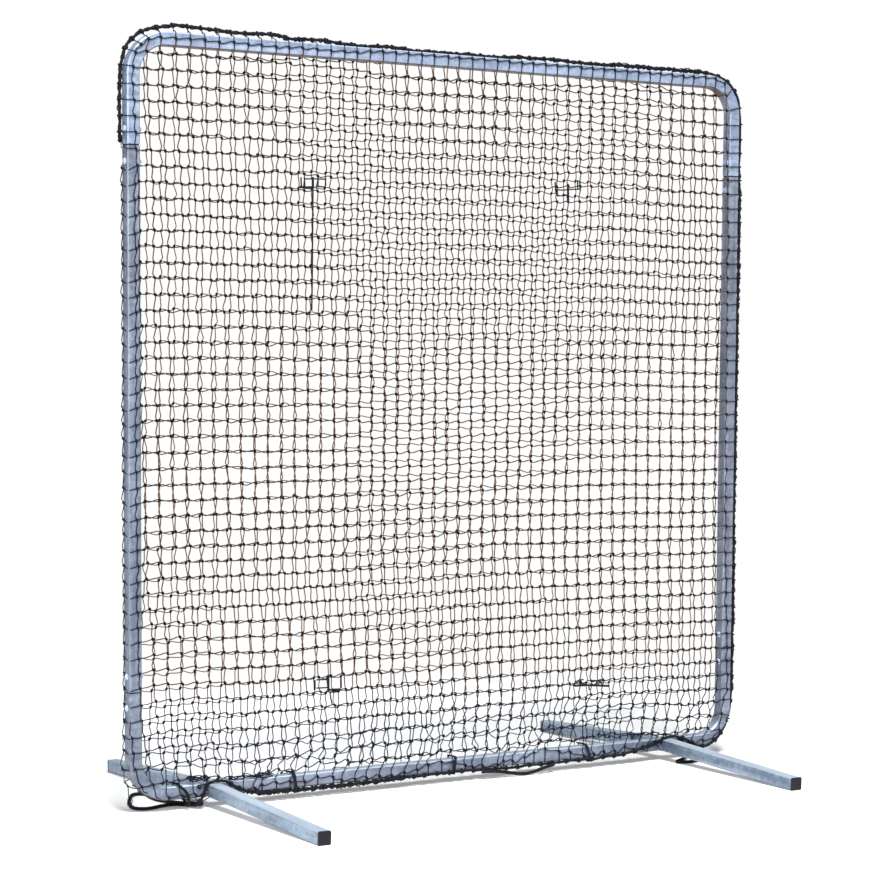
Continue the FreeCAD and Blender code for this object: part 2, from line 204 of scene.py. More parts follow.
# %% Border rope route
rope_route = [Vector(place) / 1000 for place in (
    (-1038, 26, 1861), (-1066, 26, 1862), (-1076, 15, 1880), (-1074, 13, 1935), (-1077, 13, 1990),
    (-1075, 13, 2045), (-1069, 13, 2086), (-1054, 13, 2126), (-1034, 13, 2148), (-1002, 12, 2168),
    (-958, 12, 2180), (-890, 12, 2190), (-800, 13, 2183), (-705, 13, 2179), (-612, 13, 2185),
    (-540, 14, 2176), (-440, 15, 2180), (-365, 15, 2173), (-300, 16, 2170), (-224, 16, 2179),
    (-150, 17, 2171), (-42, 15, 2171), (60, 14, 2173), (160, 12, 2170), (243, 10, 2177), (350, 7, 2177),
    (450, 3, 2173), (560, -1, 2174), (680, -6, 2174), (800, -9, 2173), (905, -12, 2173), (970, -12, 2169),
    (1020, -12, 2150), (1056, -12, 2116), (1072, -12, 2066), (1074, -12, 1990), (1072, -12, 1850),
    (1077, -12, 1790), (1075, -12, 1650), (1077, -12, 1520), (1073, -12, 1400), (1076, -12, 1250),
    (1073, -12, 1100), (1076, -12, 950), (1073, -12, 800), (1075, -12, 650), (1077, -12, 500),
    (1074, -12, 340), (1075, -12, 230), (1071, -13, 170), (1058, -15, 110), (1030, -18, 66), (988, -22, 38),
    (948, -26, 30), (912, -26, 44), (880, -26, 62), (842, -26, 75), (810, -26, 76), (776, -26, 66),
    (738, -26, 54), (690, -26, 43), (640, -26, 34), (560, -26, 30), (470, -26, 29), (380, -26, 29),
    (240, -26, 28), (120, -26, 30), (20, -26, 32), (-90, -26, 31), (-200, -26, 29), (-330, -26, 25),
    (-470, -26, 26), (-580, -26, 27), (-660, -26, 28), (-700, -26, 35), (-736, -26, 52), (-772, -26, 74),
    (-812, -26, 76), (-834, -26, 68), (-840, -26, 46), (-849, -26, 28), (-854, -26, 19))]
rope_thickness = 0.008
shakes_per_metre = 24
shake_reach = 0.0028
calm_points = 20
rope_line = read_line(rope_route)
for number, place in enumerate(rope_line):
    shake = noise.noise_vector(place * shakes_per_metre) * shake_reach
    rope_line[number] = place + Vector((shake.x, shake.y * 0.5, shake.z)) * min(1.0, number / calm_points)
print("border rope", round(length_of(rope_line), 3), "m")

# %% [markdown]
# The slack of that rope hangs free in three places: a tail on the floor behind the left corner, a low
# loop under the middle of the bottom rail, and a loop on the floor at the right leg. Each is a free
# cord: its route follows the construction's cord, moved by up to 15 mm where it lies on the floor, and
# its length is measured on the smooth line.

# %% Free cords
tail_route = [Vector(place) / 1000 for place in (
    (-863, -22, 12), (-867, 24, 6), (-900, 54, 5.9), (-944, 42, 5.9), (-992, 20, 5.9), (-1026, 45, 5.9),
    (-1014, 98, 5.9), (-993, 147, 5.9), (-963, 204, 5.9), (-930, 254, 5.9), (-893, 240, 5.9),
    (-908, 186, 5.9), (-909, 128, 5.9), (-884, 78, 5.9), (-854, 36, 6.5), (-847, -14, 12))]
middle_route = [Vector(place) / 1000 for place in (
    (96, -35, 25), (148, -36, 24), (200, -35, 13), (244, -34, 5.2), (288, -34, 8), (328, -36, 21),
    (360, -35, 25))]
right_route = [Vector(place) / 1000 for place in (
    (906, -35, 25), (916, -62, 9), (899, -90, 5.9), (861, -112, 5.9), (812, -116, 5.9), (786, -96, 5.9),
    (820, -74, 5.9), (857, -61, 9), (880, -36, 24))]
print("free cords of", len(tail_route), len(middle_route), len(right_route), "control points")

# %% [markdown]
# Finishes are node trees. A small class lets shader values be added and multiplied like numbers, and
# one method makes any other node, so a finish reads as a recipe. All patterns read Object
# coordinates, which are metres here, so a scale of 80 means about 80 blotches to a metre.


# %% Helpers for finishes
class Amount:
    """A shader value that can be worked with like a number."""

    def __init__(self, finish, socket):
        self.finish = finish
        self.socket = socket

    def math(self, operation, other):
        node = self.finish.tree.nodes.new("ShaderNodeMath")
        node.operation = operation
        for slot, value in zip(node.inputs, (self, other)):
            self.finish.feed(slot, value)
        return Amount(self.finish, node.outputs[0])

    def __add__(self, other):
        return self.math("ADD", other)

    def __sub__(self, other):
        return self.math("SUBTRACT", other)

    def __mul__(self, other):
        return self.math("MULTIPLY", other)

    def size(self):
        return self.math("ABSOLUTE", 0.0)

    def most(self, other):
        return self.math("MAXIMUM", other)


class Finish:
    """A material that is written as a recipe."""

    def __init__(self, name):
        self.material = bpy.data.materials.new(name)
        self.material.use_nodes = True
        self.tree = self.material.node_tree
        self.surface = self.tree.nodes["Principled BSDF"]

    def feed(self, slot, value):
        if isinstance(value, Amount):
            self.tree.links.new(value.socket, slot)
        else:
            slot.default_value = value

    def node(self, kind, inputs=(), output=0, **settings):
        made = self.tree.nodes.new("ShaderNode" + kind)
        for name, value in settings.items():
            setattr(made, name, value)
        for name, value in dict(inputs).items():
            self.feed(made.inputs[name], value)
        return Amount(self, made.outputs[output])

    def place(self, scale=(1, 1, 1)):
        spot = self.node("TexCoord", output="Object")
        return self.node("Mapping", {"Vector": spot, "Scale": scale})

    def axes(self, kind="TexCoord", output="Object"):
        split = self.tree.nodes.new("ShaderNodeSeparateXYZ")
        self.feed(split.inputs[0], self.node(kind, output=output))
        return [Amount(self, socket) for socket in split.outputs]

    def cloud(self, scale, detail=3.0, stretch=(1, 1, 1)):
        return self.node("TexNoise", {"Vector": self.place(stretch), "Scale": scale, "Detail": detail})

    def blend(self, amount, low, high):
        """A mix of two colours; 6, 7 and 2 are the Mix node's colour sockets."""
        low, high = [tone if isinstance(tone, Amount) else (*tone, 1) for tone in (low, high)]
        return self.node("Mix", {0: amount, 6: low, 7: high}, output=2, data_type="RGBA")

    def shape(self, amount, low, high, to_low=0.0, to_high=1.0):
        return self.node("MapRange", {"Value": amount, "From Min": low, "From Max": high, "To Min": to_low,
                                      "To Max": to_high})

    def bump(self, height, distance, strength):
        return self.node("Bump", {"Height": height, "Distance": distance, "Strength": strength})

    def set(self, **values):
        for name, value in values.items():
            self.feed(self.surface.inputs[name.replace("_", " ")], value)
        return self.material


# %% [markdown]
# Hot-dip galvanised tube isn't one grey. It has faint crystals a centimetre or two wide, long streaks
# where the zinc ran, and small dull spots. The colour leans to blue, as the photograph's does. The
# streaks run along each tube, so the upright and the level tubes stretch the same noise differently.
# Light and shade are painted into the colour as well. Surfaces that look down get a painted reflection
# of brown ground, and those that look up are painted paler, as painted light: the recipe finds both
# with the surface's own normal. The copies also differ in brightness as painted light and shade, the
# top rail's lighter and the bottom rail's darker. The sleeve inside a seam lies in the dark, so its
# finish is painted shade, nearly black.

# %% Galvanised steel
dull_spot = (0.150, 0.170, 0.225)
reflected_ground_brown = (0.110, 0.062, 0.040)
pale_low, pale_high = (0.380, 0.490, 0.640), (0.790, 0.900, 0.990)


def galvanised(name, stretch, low, high, ground_reflection=0.0, top_light_share=0.0):
    steel = Finish(name)
    crystals = steel.node("TexVoronoi", {"Vector": steel.place(), "Scale": 85.0}, output="Color")
    crystal = steel.node("SeparateColor", {"Color": crystals})
    streaks = steel.cloud(46.0, 4.0, stretch)
    clouds = steel.cloud(6.0, 3.0)
    spots = steel.shape(steel.cloud(230.0, 2.0), 0.56, 0.70)
    tone = steel.shape(crystal * 0.22 + streaks + clouds * 0.7, 0.72, 1.22)
    dulled = steel.blend(spots * 0.35, steel.blend(tone, low, high), dull_spot)
    # Painted reflection: faces that look down are tinted towards brown ground.
    down = steel.axes("NewGeometry", "Normal")[2] * -1.0
    ground_reflected = steel.blend(steel.shape(down, 0.35, 0.8, 0.0, ground_reflection), dulled, reflected_ground_brown)
    # Painted light: faces that look up are made paler, as if lit from above.
    pale = steel.blend(streaks, pale_low, pale_high)
    top_lit = steel.blend(steel.shape(down, -0.75, -0.35, top_light_share, 0.0), ground_reflected, pale)
    rough = steel.shape(streaks + crystal * 0.3, 0.3, 1.0, 0.36, 0.54)
    grain = streaks * 0.6 + steel.cloud(900.0, 2.0) * 0.25
    return steel.set(Base_Color=top_lit, Metallic=0.5, Roughness=rough,
                     Normal=steel.bump(grain, 0.0004, 0.35))


# Lit and shaded copies of one steel: the top rail's colours are painted lighter and the bottom rail's darker.
upright_steel = galvanised("upright_steel", (1.0, 1.0, 0.05), (0.165, 0.192, 0.256), (0.350, 0.400, 0.500),
                           0.7, 0.6)
top_steel_painted_light = galvanised("top_steel_painted_light", (0.05, 1.0, 1.0), (0.270, 0.330, 0.465), (0.490, 0.590, 0.780),
                       0.9, 0.6)
bottom_steel_painted_shade = galvanised("bottom_steel_painted_shade", (0.05, 1.0, 1.0), (0.145, 0.168, 0.222), (0.325, 0.372, 0.475),
                          0.9, 0.8)
leg_steel = galvanised("leg_steel", (1.0, 0.05, 1.0), (0.140, 0.195, 0.270), (0.400, 0.490, 0.595),
                       0.3, 1.0)
# Painted shade: the sleeve seen in a seam's gap is nearly black.
seam_painted_shade = galvanised("seam_painted_shade", (1.0, 1.0, 1.0), (0.010, 0.012, 0.020), (0.030, 0.034, 0.050))
print("steel finishes", upright_steel.name, top_steel_painted_light.name, bottom_steel_painted_shade.name, leg_steel.name)

# %% [markdown]
# The small parts have simpler finishes: bright zinc on the bolts and nuts, blue nylon in the lock
# nuts, and black moulded plastic with a fine texture on the leg plugs.

# %% Small parts' finishes
zinc = Finish("bright_zinc")
zinc_tone = zinc.cloud(160.0, 3.0)
bright_zinc = zinc.set(Base_Color=zinc.blend(zinc_tone, (0.52, 0.60, 0.78), (0.80, 0.87, 0.98)), Metallic=0.4,
                       Roughness=zinc.shape(zinc_tone, 0.2, 0.8, 0.22, 0.42),
                       Normal=zinc.bump(zinc.cloud(700.0), 0.0002, 0.3))

nylon = Finish("blue_nylon")
nylon_tone = nylon.cloud(300.0, 2.0)
blue_nylon = nylon.set(Base_Color=nylon.blend(nylon_tone, (0.10, 0.26, 0.90), (0.22, 0.42, 1.0)),
                       Roughness=0.42, Normal=nylon.bump(nylon_tone, 0.0002, 0.2))

plastic = Finish("black_plastic")
plastic_tone = plastic.cloud(90.0, 4.0)
plastic_scuffs = plastic.shape(plastic.cloud(38.0, 5.0, (1.0, 1.0, 4.0)), 0.56, 0.72)
plastic_mix = plastic_tone * 0.5 + plastic_scuffs * 0.5
plastic_tones = (0.006, 0.006, 0.009), (0.028, 0.030, 0.040)
black_plastic = plastic.set(Base_Color=plastic.blend(plastic_mix, *plastic_tones),
                            Roughness=plastic.shape(plastic_scuffs, 0.0, 1.0, 0.42, 0.66),
                            Specular_IOR_Level=0.22,
                            Normal=plastic.bump(plastic.cloud(1400.0, 2.0), 0.0002, 0.5))
print("small parts' finishes", bright_zinc.name, blue_nylon.name, black_plastic.name)

# %% [markdown]
# Net twine is tarred nylon: nearly black. The brown where light comes through its fuzz is painted
# light in the colour. Over the steel, and low down, there is no painted brown and it is blue-black. So
# the recipe goes from the painted brown to blue-black by where the string is. The columns get a little
# more painted brown than the rows, and the rear face is paler.

# %% Twine and rope finishes
blue_black_below = 0.30
blue_black_softness = 0.1
blue_black = (0.010, 0.013, 0.026)


def twine_finish(name, backlit_low, backlit_high):
    twine = Finish(name)
    x, _, z = twine.axes()
    over_posts = x.size() - (half_width - tube_side)
    over_rails = (z - middle_height).size() - (half_height - tube_side)
    # Low down the painted brown gives way to blue-black.
    low_down = (z - blue_black_below) * -blue_black_softness
    steel_or_low = twine.shape(over_posts.most(over_rails).most(low_down), -0.004, 0.012)
    fibres = twine.cloud(1500.0, 2.0)
    tone = twine.shape(twine.cloud(26.0, 3.0) * 0.7 + fibres * 0.3, 0.3, 0.7)
    # The brown is painted light, coming through the fuzz.
    backlit_brown = twine.blend(tone, backlit_low, backlit_high)
    return twine.set(Base_Color=twine.blend(steel_or_low, backlit_brown, blue_black), Roughness=0.85,
                     Specular_IOR_Level=0.15, Normal=twine.bump(fibres, 0.0004, 0.8))


row_twine = twine_finish("row_twine", (0.020, 0.012, 0.007), (0.085, 0.052, 0.030))
column_twine = twine_finish("column_twine", (0.040, 0.020, 0.010), (0.150, 0.082, 0.045))
rear_twine = twine_finish("rear_twine", (0.055, 0.030, 0.016), (0.200, 0.120, 0.075))
knot_twine = twine_finish("knot_twine", (0.004, 0.003, 0.003), (0.012, 0.008, 0.008))

rope_fibre = Finish("black_rope")
rope_tone = rope_fibre.cloud(60.0, 4.0)
rope_hairs = rope_fibre.cloud(1900.0, 3.0)
rope_mix = rope_fibre.shape(rope_tone * 0.6 + rope_hairs * 0.4, 0.3, 0.7)
rope_tones = (0.003, 0.003, 0.005), (0.016, 0.017, 0.024)
black_rope = rope_fibre.set(Base_Color=rope_fibre.blend(rope_mix, *rope_tones), Roughness=0.8,
                            Specular_IOR_Level=0.2, Normal=rope_fibre.bump(rope_hairs, 0.0005, 0.9))
print("string finishes", row_twine.name, column_twine.name, rear_twine.name, knot_twine.name)

# %% [markdown]
# The steel keeps the construction's own meshes, and only its material slots change.


# %% Dress the steel
def dress(node, material):
    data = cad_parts[node].data
    data.materials.clear()
    data.materials.append(material)


dress("top_section", top_steel_painted_light)
dress("bottom_section", bottom_steel_painted_shade)
for side in ("left", "right"):
    dress(side + "_post", upright_steel)
    dress("upper_" + side + "_sleeve", seam_painted_shade)
    dress("lower_" + side + "_sleeve", seam_painted_shade)
for place in ("front_left", "front_right", "rear_left", "rear_right"):
    for piece in ("stub", "spigot", "leg"):
        dress(place + "_" + piece, leg_steel)
    dress(place + "_cap", black_plastic)
dress("splice_bolts", bright_zinc)
dress("splice_nuts", bright_zinc)
dress("nut_inserts", blue_nylon)
print("dressed", len(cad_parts), "nodes")


# %% [markdown]
# Each soft piece rides on the frame, takes its finish, and stands for the construction's own piece.


# %% Helper to finish a piece
def finish_piece(piece, material, slot, *nodes):
    piece.data.materials.append(material)
    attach(piece, "frame")
    if nodes:
        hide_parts(*nodes)
    print(piece.name, len(piece.data.polygons), "faces")


# %% Make the ropes
rope_lay = 0.026
border_fullness = 1.12
cord_fullness = 1.4
border = rope_object("border_rope_laid", rope_line, rope_thickness * border_fullness, rope_lay)
finish_piece(border, black_rope, "black_rope", "border_rope")

free_cords = (
    ("tail_rope", tail_route, "tail_loop"),
    ("middle_rope", middle_route, "middle_slack_loop"),
    ("right_rope", right_route, "right_slack_loop"),
)
for name, route, node in free_cords:
    line = read_line(route)
    cord = rope_object(name, line, rope_thickness * cord_fullness, rope_lay)
    finish_piece(cord, black_rope, "black_rope", node)
    length_of(line)
    print(name, "length", round(length_of(line), 3))

# %% [markdown]
# The knot that ends the border rope is a thumb knot. One short thick cord that circles twice round a
# small ring reads as one from any side.

# %% Border knot
knot_centre = Vector((-0.854, -0.02615, 0.017))
knot_steps = 24
ring_radius, ring_swell, ring_depth = 0.0048, 0.0014, 0.0052
knot_cord, knot_lay = 0.0098, 0.02
knot_turns = []
for step in range(knot_steps + 1):
    angle = 4 * math.pi * step / knot_steps
    reach = ring_radius + ring_swell * math.cos(angle * 1.5)
    knot_turns.append(knot_centre + Vector((reach * math.cos(angle), ring_depth * math.sin(angle * 1.5),
                                            reach * math.sin(angle))))
border_knot = rope_object("border_knot_turns", read_line(knot_turns), knot_cord, knot_lay)
finish_piece(border_knot, black_rope, "black_rope", "border_knot")

# %% [markdown]
# A knotted net is rows and columns of twine that meet in small hard knots. It is never quite square.
# This one hangs so slackly that 49 cells fit the frame's height, and both faces have slid: the tables
# say by how many millimetres, at seven places across (left to right) and nine up (bottom to top).
# The two faces slid differently, so the rear rows show between the front rows in the middle. A small
# jitter and, near the bottom rail, a larger wander do the rest.

# %% How far the net has slid
places_across = (-0.95, -0.70, -0.38, -0.25, 0.15, 0.55, 0.92)
places_up = (0.06, 0.12, 0.25, 0.42, 0.70, 1.15, 1.60, 2.10, 2.143)
slid_across = (
    ((82, 60, 60, 50, 12, -18, 2), (78, 66, 72, 62, 28, 6, 28), (60, 64, 66, 60, 40, 30, 50),
     (48, 56, 44, 42, 30, 28, 41), (33, 28, 20, 14, 11, 18, 34), (19, 16, 16, 12, 12, 13, 28),
     (13, 9, 6, 7, 7, 8, 24), (-6, -2, 5, 6, 8, 9, 10), (-6, -2, 5, 6, 8, 9, 10)),
    ((-40, -40, -44, -42, -36, -14, -4), (-36, -36, -38, -34, -26, 2, 12),
     (-28, -30, -27, -25, -20, -4, 10), (-16, -19, -18, -18, -16, 4, 14),
     (-2, -4, -9, -10, -8, -2, 14), (5, 0, -2, -3, -2, 2, 16), (10, 14, 12, 9, 11, 19, 33),
     (6, 9, 14, 18, 27, 34, 36), (6, 9, 14, 18, 27, 34, 36)))
slid_up = (
    ((-8, -12, -4, -6, 0, 2, -14), (-6, -14, 0, -4, 4, 6, -16), (2, -12, -6, -6, -4, 6, -12),
     (3, -10, -5, -11, -2, 0, -8), (-2, -5, -5, -3, 4, 3, -7), (-2, -2, -6, -16, -11, 6, 0),
     (1, 1, -6, -13, -10, 6, -1), (6, 6, -1, -10, -7, 2, 3), (6, 6, 4, 15, 18, 20, 14)),
    ((-24, -24, -24, -18, -14, -12, -18), (-27, -26, -26, -18, -14, -12, -20),
     (-22, -20, -20, -13, -9, -14, -17), (-15, -15, -16, -9, -6, -8, -16),
     (-12, -9, -7, -1, 4, -3, -10), (0, 0, -2, 7, 12, 12, 2), (4, 2, 6, 16, 25, 15, 4),
     (12, 14, 24, 32, 36, 28, 8), (12, 14, 24, 32, 36, 28, 8)))
print("slides at", len(places_across), "places across and", len(places_up), "up")


def between(marks, value):
    """Which two marks a value is between, and how far it is from the first to the second."""
    number = max([n for n in range(len(marks) - 1) if marks[n] <= value], default=0)
    share = (value - marks[number]) / (marks[number + 1] - marks[number])
    share = min(1.0, max(0.0, share))
    return number, share * share * (3 - 2 * share)


def slide(table, x, z):
    """A table's value at a place, smoothly, in metres."""
    column, across = between(places_across, x)
    row, along = between(places_up, z)
    low = table[row][column] * (1 - across) + table[row][column + 1] * across
    high = table[row + 1][column] * (1 - across) + table[row + 1][column + 1] * across
    return (low * (1 - along) + high * along) / 1000


# %% [markdown]
# The knots must stay on the frame's outline, also at its round corners. outline_depth says how far a
# place is inside that outline and which way is out, and every knot is kept a little inside it.

# %% Where the knots are
mesh_rows = 49
mesh_columns = 48
mesh_pitch = 2 * half_width / mesh_rows
twine_thickness = 0.0036
face_gap = 0.0016
edge_margin = 0.008
wander, jitter = 0.003, 0.0015
low_wander, low_jitter = 0.028, 0.004
belly_depth = 0.006


def outline_depth(x, z):
    """How far a place is inside the frame's outline, and which way is out."""
    across = abs(x) - (half_width - bend)
    along = abs(z - middle_height) - (half_height - bend)
    sign_x = 1 if x > 0 else -1
    sign_z = 1 if z > middle_height else -1
    if across > 0 and along > 0:
        reach = math.hypot(across, along)
        return bend - reach, Vector((sign_x * across / reach, 0, sign_z * along / reach))
    if across > along:
        return bend - across, Vector((sign_x, 0, 0))
    return bend - along, Vector((0, 0, sign_z))


def lowness(z):
    """1 at the bottom rail, 0 from a quarter of a metre up."""
    return min(1.0, max(0.0, 1 - (z - frame_bottom - 0.03) / 0.25))


def net_knots(layer):
    """The places of one face's knots: columns of rows."""
    shuffle = random.Random(40 + layer)
    face = half_side + face_gap
    grid = []
    for column in range(mesh_columns):
        knots = []
        for row in range(mesh_rows):
            x = -half_width + mesh_pitch * (column + 0.5)
            z = frame_bottom + mesh_pitch * (row + 0.5)
            across = slide(slid_across[layer], x, z)
            along = slide(slid_up[layer], x, z)
            spot = Vector((x * 2.3, z * 2.3, layer * 7.3))
            across += noise.noise(spot) * wander + shuffle.gauss(0, jitter)
            along += noise.noise(spot + Vector((0, 5, 3))) * wander + shuffle.gauss(0, jitter)
            low = lowness(z) ** 1.6
            spot = Vector((x * 6, z * 9, 20 + layer * 5))
            across += (noise.noise(spot) * low_wander + shuffle.gauss(0, low_jitter)) * low
            spot += Vector((3, 8, 1))
            along += (noise.noise(spot) * low_wander + shuffle.gauss(0, low_jitter)) * low
            x += across
            z += along
            depth, out = outline_depth(x, z)
            if depth < edge_margin:
                x -= out.x * (edge_margin - depth)
                z -= out.z * (edge_margin - depth)
            free = min(1.0, max(depth - 0.02, 0) / 0.12)
            belly = abs(noise.noise(Vector((x * 2, z * 2, 50 + layer)))) * belly_depth * free
            knots.append(Vector((x, face + belly if layer else -face - belly, z)))
        grid.append(knots)
    return grid


layers = [net_knots(0), net_knots(1)]
print("knots in each face", mesh_columns * mesh_rows)

# %% [markdown]
# At its edges the net turns round the tube and is laced to the rope. A string's last stretch goes
# from its last knot over the tube's edge to the rope, where the front face's string and the rear
# face's meet at one hitch. On the left post, below the rope's start, there is no rope: the net simply
# folds round the post and becomes the rear face.

# %% Where the strings go round the frame
hitched = []
too_far = 0.06
turn_room = 0.012


def nearest_on_rope(place):
    return min(rope_line, key=lambda point: (point - place).length_squared)


def to_edge(knot, partner, layer):
    """The places that a string passes from its last knot to the rope, or to the tube's far side."""
    depth, out = outline_depth(knot.x, knot.z)
    face = half_side + face_gap
    y = face if layer else -face
    meeting = (knot + partner) / 2
    rim = Vector((knot.x, y, knot.z)) + out * (depth - 0.003)
    over = Vector((knot.x, y * 0.86, knot.z)) + out * (depth + 0.0016)
    lean = 0.014 if out.z < -0.9 else 0
    anchor = nearest_on_rope(Vector((meeting.x - lean, 0, meeting.z)) + out * (depth + 0.006))
    flat = Vector((over.x, 0, over.z))
    across = Vector((anchor.x, 0, anchor.z)) - flat
    stops = [rim, over]
    if across.length > too_far:
        return stops + [flat + out * 0.0008]
    if (anchor.y - over.y) * (1 if layer else -1) < -turn_room:
        middle_y = (anchor.y + over.y) / 2
        stops.append(Vector((over.x, middle_y, over.z)) + out * 0.0006 + across * 0.25)
    if anchor not in hitched:
        hitched.append(anchor)
    return stops + [anchor]


# %% [markdown]
# Now the strings themselves. The netting machine ties every knot alike, so a row comes in at a knot's
# upper left and leaves at its lower right, and a column leaves downwards from the same lower right.
# That makes a row a line of shallow steps, and a column a line of shallow bows. Seen from the front,
# the rear face shows its back, so there everything is mirrored. Over the steel a string is pulled
# tight, so it is drawn thinner there.

# %% Strings between knots
column_leaves = (-0.0012, 0.0030)
row_leaves = (0.0015, -0.0022)
steel_depth = 0.042
thin_over_steel = 0.78


def knot_ends(place, upright, mirror):
    """Where a string enters and leaves a knot, going right or going up."""
    if upright:
        leaving = Vector((column_leaves[0] * mirror, 0, column_leaves[1]))
    else:
        leaving = Vector((row_leaves[0], 0, row_leaves[1] * mirror))
    return place - leaving, place + leaving


def string_through(knots, shuffle, upright, layer):
    """One string's points: in and out of every knot, and three on each bow."""
    mirror = -1 if layer else 1
    if upright:
        bows = ((0.22, 0.0027 * mirror), (0.5, 0.0016 * mirror), (0.8, 0.0002 * mirror))
    elif layer:
        bows = ((0.22, 0.0004), (0.5, -0.0010), (0.78, -0.0017))
    else:
        bows = ((0.22, -0.0017), (0.5, -0.0010), (0.78, 0.0004))
    line = []
    for number, knot in enumerate(knots):
        low = lowness(knot.z)
        weight = 0.93 + 0.09 * knot.z / frame_top
        if outline_depth(knot.x, knot.z)[0] < steel_depth:
            weight *= thin_over_steel
        inward, outward = knot_ends(knot, upright, mirror)
        line += [(inward, weight), (outward, weight)]
        if number + 1 == len(knots):
            break
        following = knot_ends(knots[number + 1], upright, mirror)[0]
        run = following - outward
        flat = Vector((-run.z, 0, run.x)).normalized()
        strength = max(0.1, shuffle.gauss(1, 0.45)) * (1 + 0.8 * low)
        sway = shuffle.gauss(0, 0.0007) * (1 + 2 * low)
        for share, height in bows:
            line.append((outward.lerp(following, share) + flat * (height * strength + sway), weight))
    return line


# %% [markdown]
# Round the left post the rows cross more strings. One lies on the post's front face and slants into the
# opening lower down, where a second one takes its place on the bend; another is near the back edge of
# the post's outer side. At the bottom left the net isn't tight: it leaves the bend and hangs down to
# the rope's slack on the floor. Each table gives a string's height and place across, in metres.


# %% The fold round the left post
fold_bottom = 0.055
fold_top = rope_line[0].z - 0.02
fold_weight = 0.85
fold_sag = 0.008
side_string_y = 0.014
face_string_top = 1.76
loose_below = 0.14
post_string = ((0.036, -0.975), (0.060, -0.990), (0.120, -1.012), (0.212, -1.0196), (0.234, -1.027),
               (0.430, -1.040), (0.600, -1.0435), (1.900, -1.0445))
bend_string = ((0.060, -1.0165), (0.100, -1.0483), (0.199, -1.0589), (0.250, -1.0640))
side_string = ((0.030, -1.046), (0.0635, -1.0521), (0.0872, -1.0634), (0.1076, -1.0703), (0.1306, -1.0754),
               (0.1615, -1.0737), (0.1865, -1.0693), (0.195, -1.0724), (0.223, -1.0713), (0.300, -1.0684),
               (1.900, -1.0684))


def along_string(table, z, y):
    """A string's place at a height."""
    for (low, low_x), (high, high_x) in zip(table, table[1:]):
        if z <= high:
            break
    share = min(1.0, max(0.0, (z - low) / (high - low)))
    return Vector((low_x + (high_x - low_x) * share, y, z))


fold_rows = [row for row in range(mesh_rows) if fold_bottom < layers[0][0][row].z < fold_top]
print("rows that fold round the left post:", len(fold_rows))


def fold_strings():
    """The rows and the three upright strings of the fold, and their knots."""
    shuffle = random.Random(97)
    on_face = -half_side - face_gap - 0.0004
    lines = []
    face_knots = []
    bend_knots = []
    side_knots = []
    for row in fold_rows:
        front = layers[0][0][row]
        rear = layers[1][0][row]
        low = front.z - fold_sag
        slip = noise.noise(Vector((0, 0, low * 3.1))) * 0.005 + shuffle.gauss(0, 0.0012)
        face_knot = along_string(post_string, low + shuffle.gauss(0, 0.001), on_face)
        face_knot += Vector((slip, 0, 0))
        side_knot = along_string(side_string, low + shuffle.gauss(0, 0.002), side_string_y)
        line = [front]
        if front.z < face_string_top:
            line += [front.lerp(face_knot, 0.5) - Vector((0, 0, 0.002)), face_knot]
            face_knots.append(face_knot)
        last = line[-1]
        if low < bend_string[-1][0]:
            last = along_string(bend_string, low - 0.002, on_face)
            bend_knots.append(last)
            line += [face_knot.lerp(last, 0.5) - Vector((0, 0, 0.003)), last]
        corner = Vector((min((last.x + side_knot.x) / 2, -half_width + 0.003), -half_side, low - 0.006))
        if low < loose_below:
            corner.x = last.x - 0.006
        line += [corner, corner.lerp(side_knot, 0.5) - Vector((0.0006, 0, 0.003)), side_knot,
                 Vector((min(side_knot.x, -half_width + 0.003), half_side, (low + rear.z) / 2)),
                 Vector((-half_width + 0.004, half_side + face_gap, (low + rear.z * 2) / 3)), rear]
        lines.append([(place, fold_weight) for place in line])
        side_knots.append(side_knot)
    face_foot = [along_string(post_string, 0.036, on_face)]
    bend_foot = [along_string(bend_string, 0.060, on_face)]
    lines.append(string_through(face_foot + face_knots + [layers[0][0][fold_rows[-1]]], shuffle, True, 0))
    bend_top = [Vector((-1.0662, -half_side, 0.262))]
    lines.append(string_through(bend_foot + bend_knots + bend_top, shuffle, True, 0))
    side_foot = [Vector((-1.036, 0.026, 0.010)), Vector((-1.046, side_string_y, 0.036))]
    lines.append(string_through(side_foot + side_knots, shuffle, True, 0))
    return lines, face_knots + bend_knots + side_knots


fold_lines, fold_knots = fold_strings()
fold = cords("left_fold_strings", fold_lines, twine_thickness)
finish_piece(fold, row_twine, "net_twine", "net_left_fold", "net_top_edge", "net_bottom_edge",
             "net_right_edge")

# %% [markdown]
# Rows and columns are separate pieces, which keeps every piece's mesh small enough. The rear face's
# strings are drawn a little thinner, as they are further from the eye.


# %% Rows and columns
def thin_end(knot, partner, layer):
    """A string's last stretch, from its last knot round the tube."""
    return [(stop, thin_over_steel) for stop in to_edge(knot, partner, layer)]


def strings_of(layer, upright):
    """One face's columns or rows; a row that folds round the left post starts at its first knot."""
    shuffle = random.Random((80 if upright else 60) + layer)
    face, other = layers[layer], layers[1 - layer]
    if not upright:
        face, other = list(zip(*face)), list(zip(*other))
    lines = []
    for number, (knots, partners) in enumerate(zip(face, other)):
        line = string_through(knots, shuffle, upright, layer)
        line += thin_end(knots[-1], partners[-1], layer)
        if upright or number not in fold_rows:
            line = thin_end(knots[0], partners[0], layer)[::-1] + line
        lines.append(line)
    return lines


faces = (("front", 0, row_twine, column_twine, 1.0), ("rear", 1, rear_twine, rear_twine, 0.9))
for face, layer, row_material, column_material, weight in faces:
    thickness = twine_thickness * weight
    rows = cords(face + "_net_rows", strings_of(layer, False), thickness)
    finish_piece(rows, row_material, "net_twine", face + "_net")
    columns = cords(face + "_net_columns", strings_of(layer, True), thickness)
    finish_piece(columns, column_material, "net_twine", face + "_net")

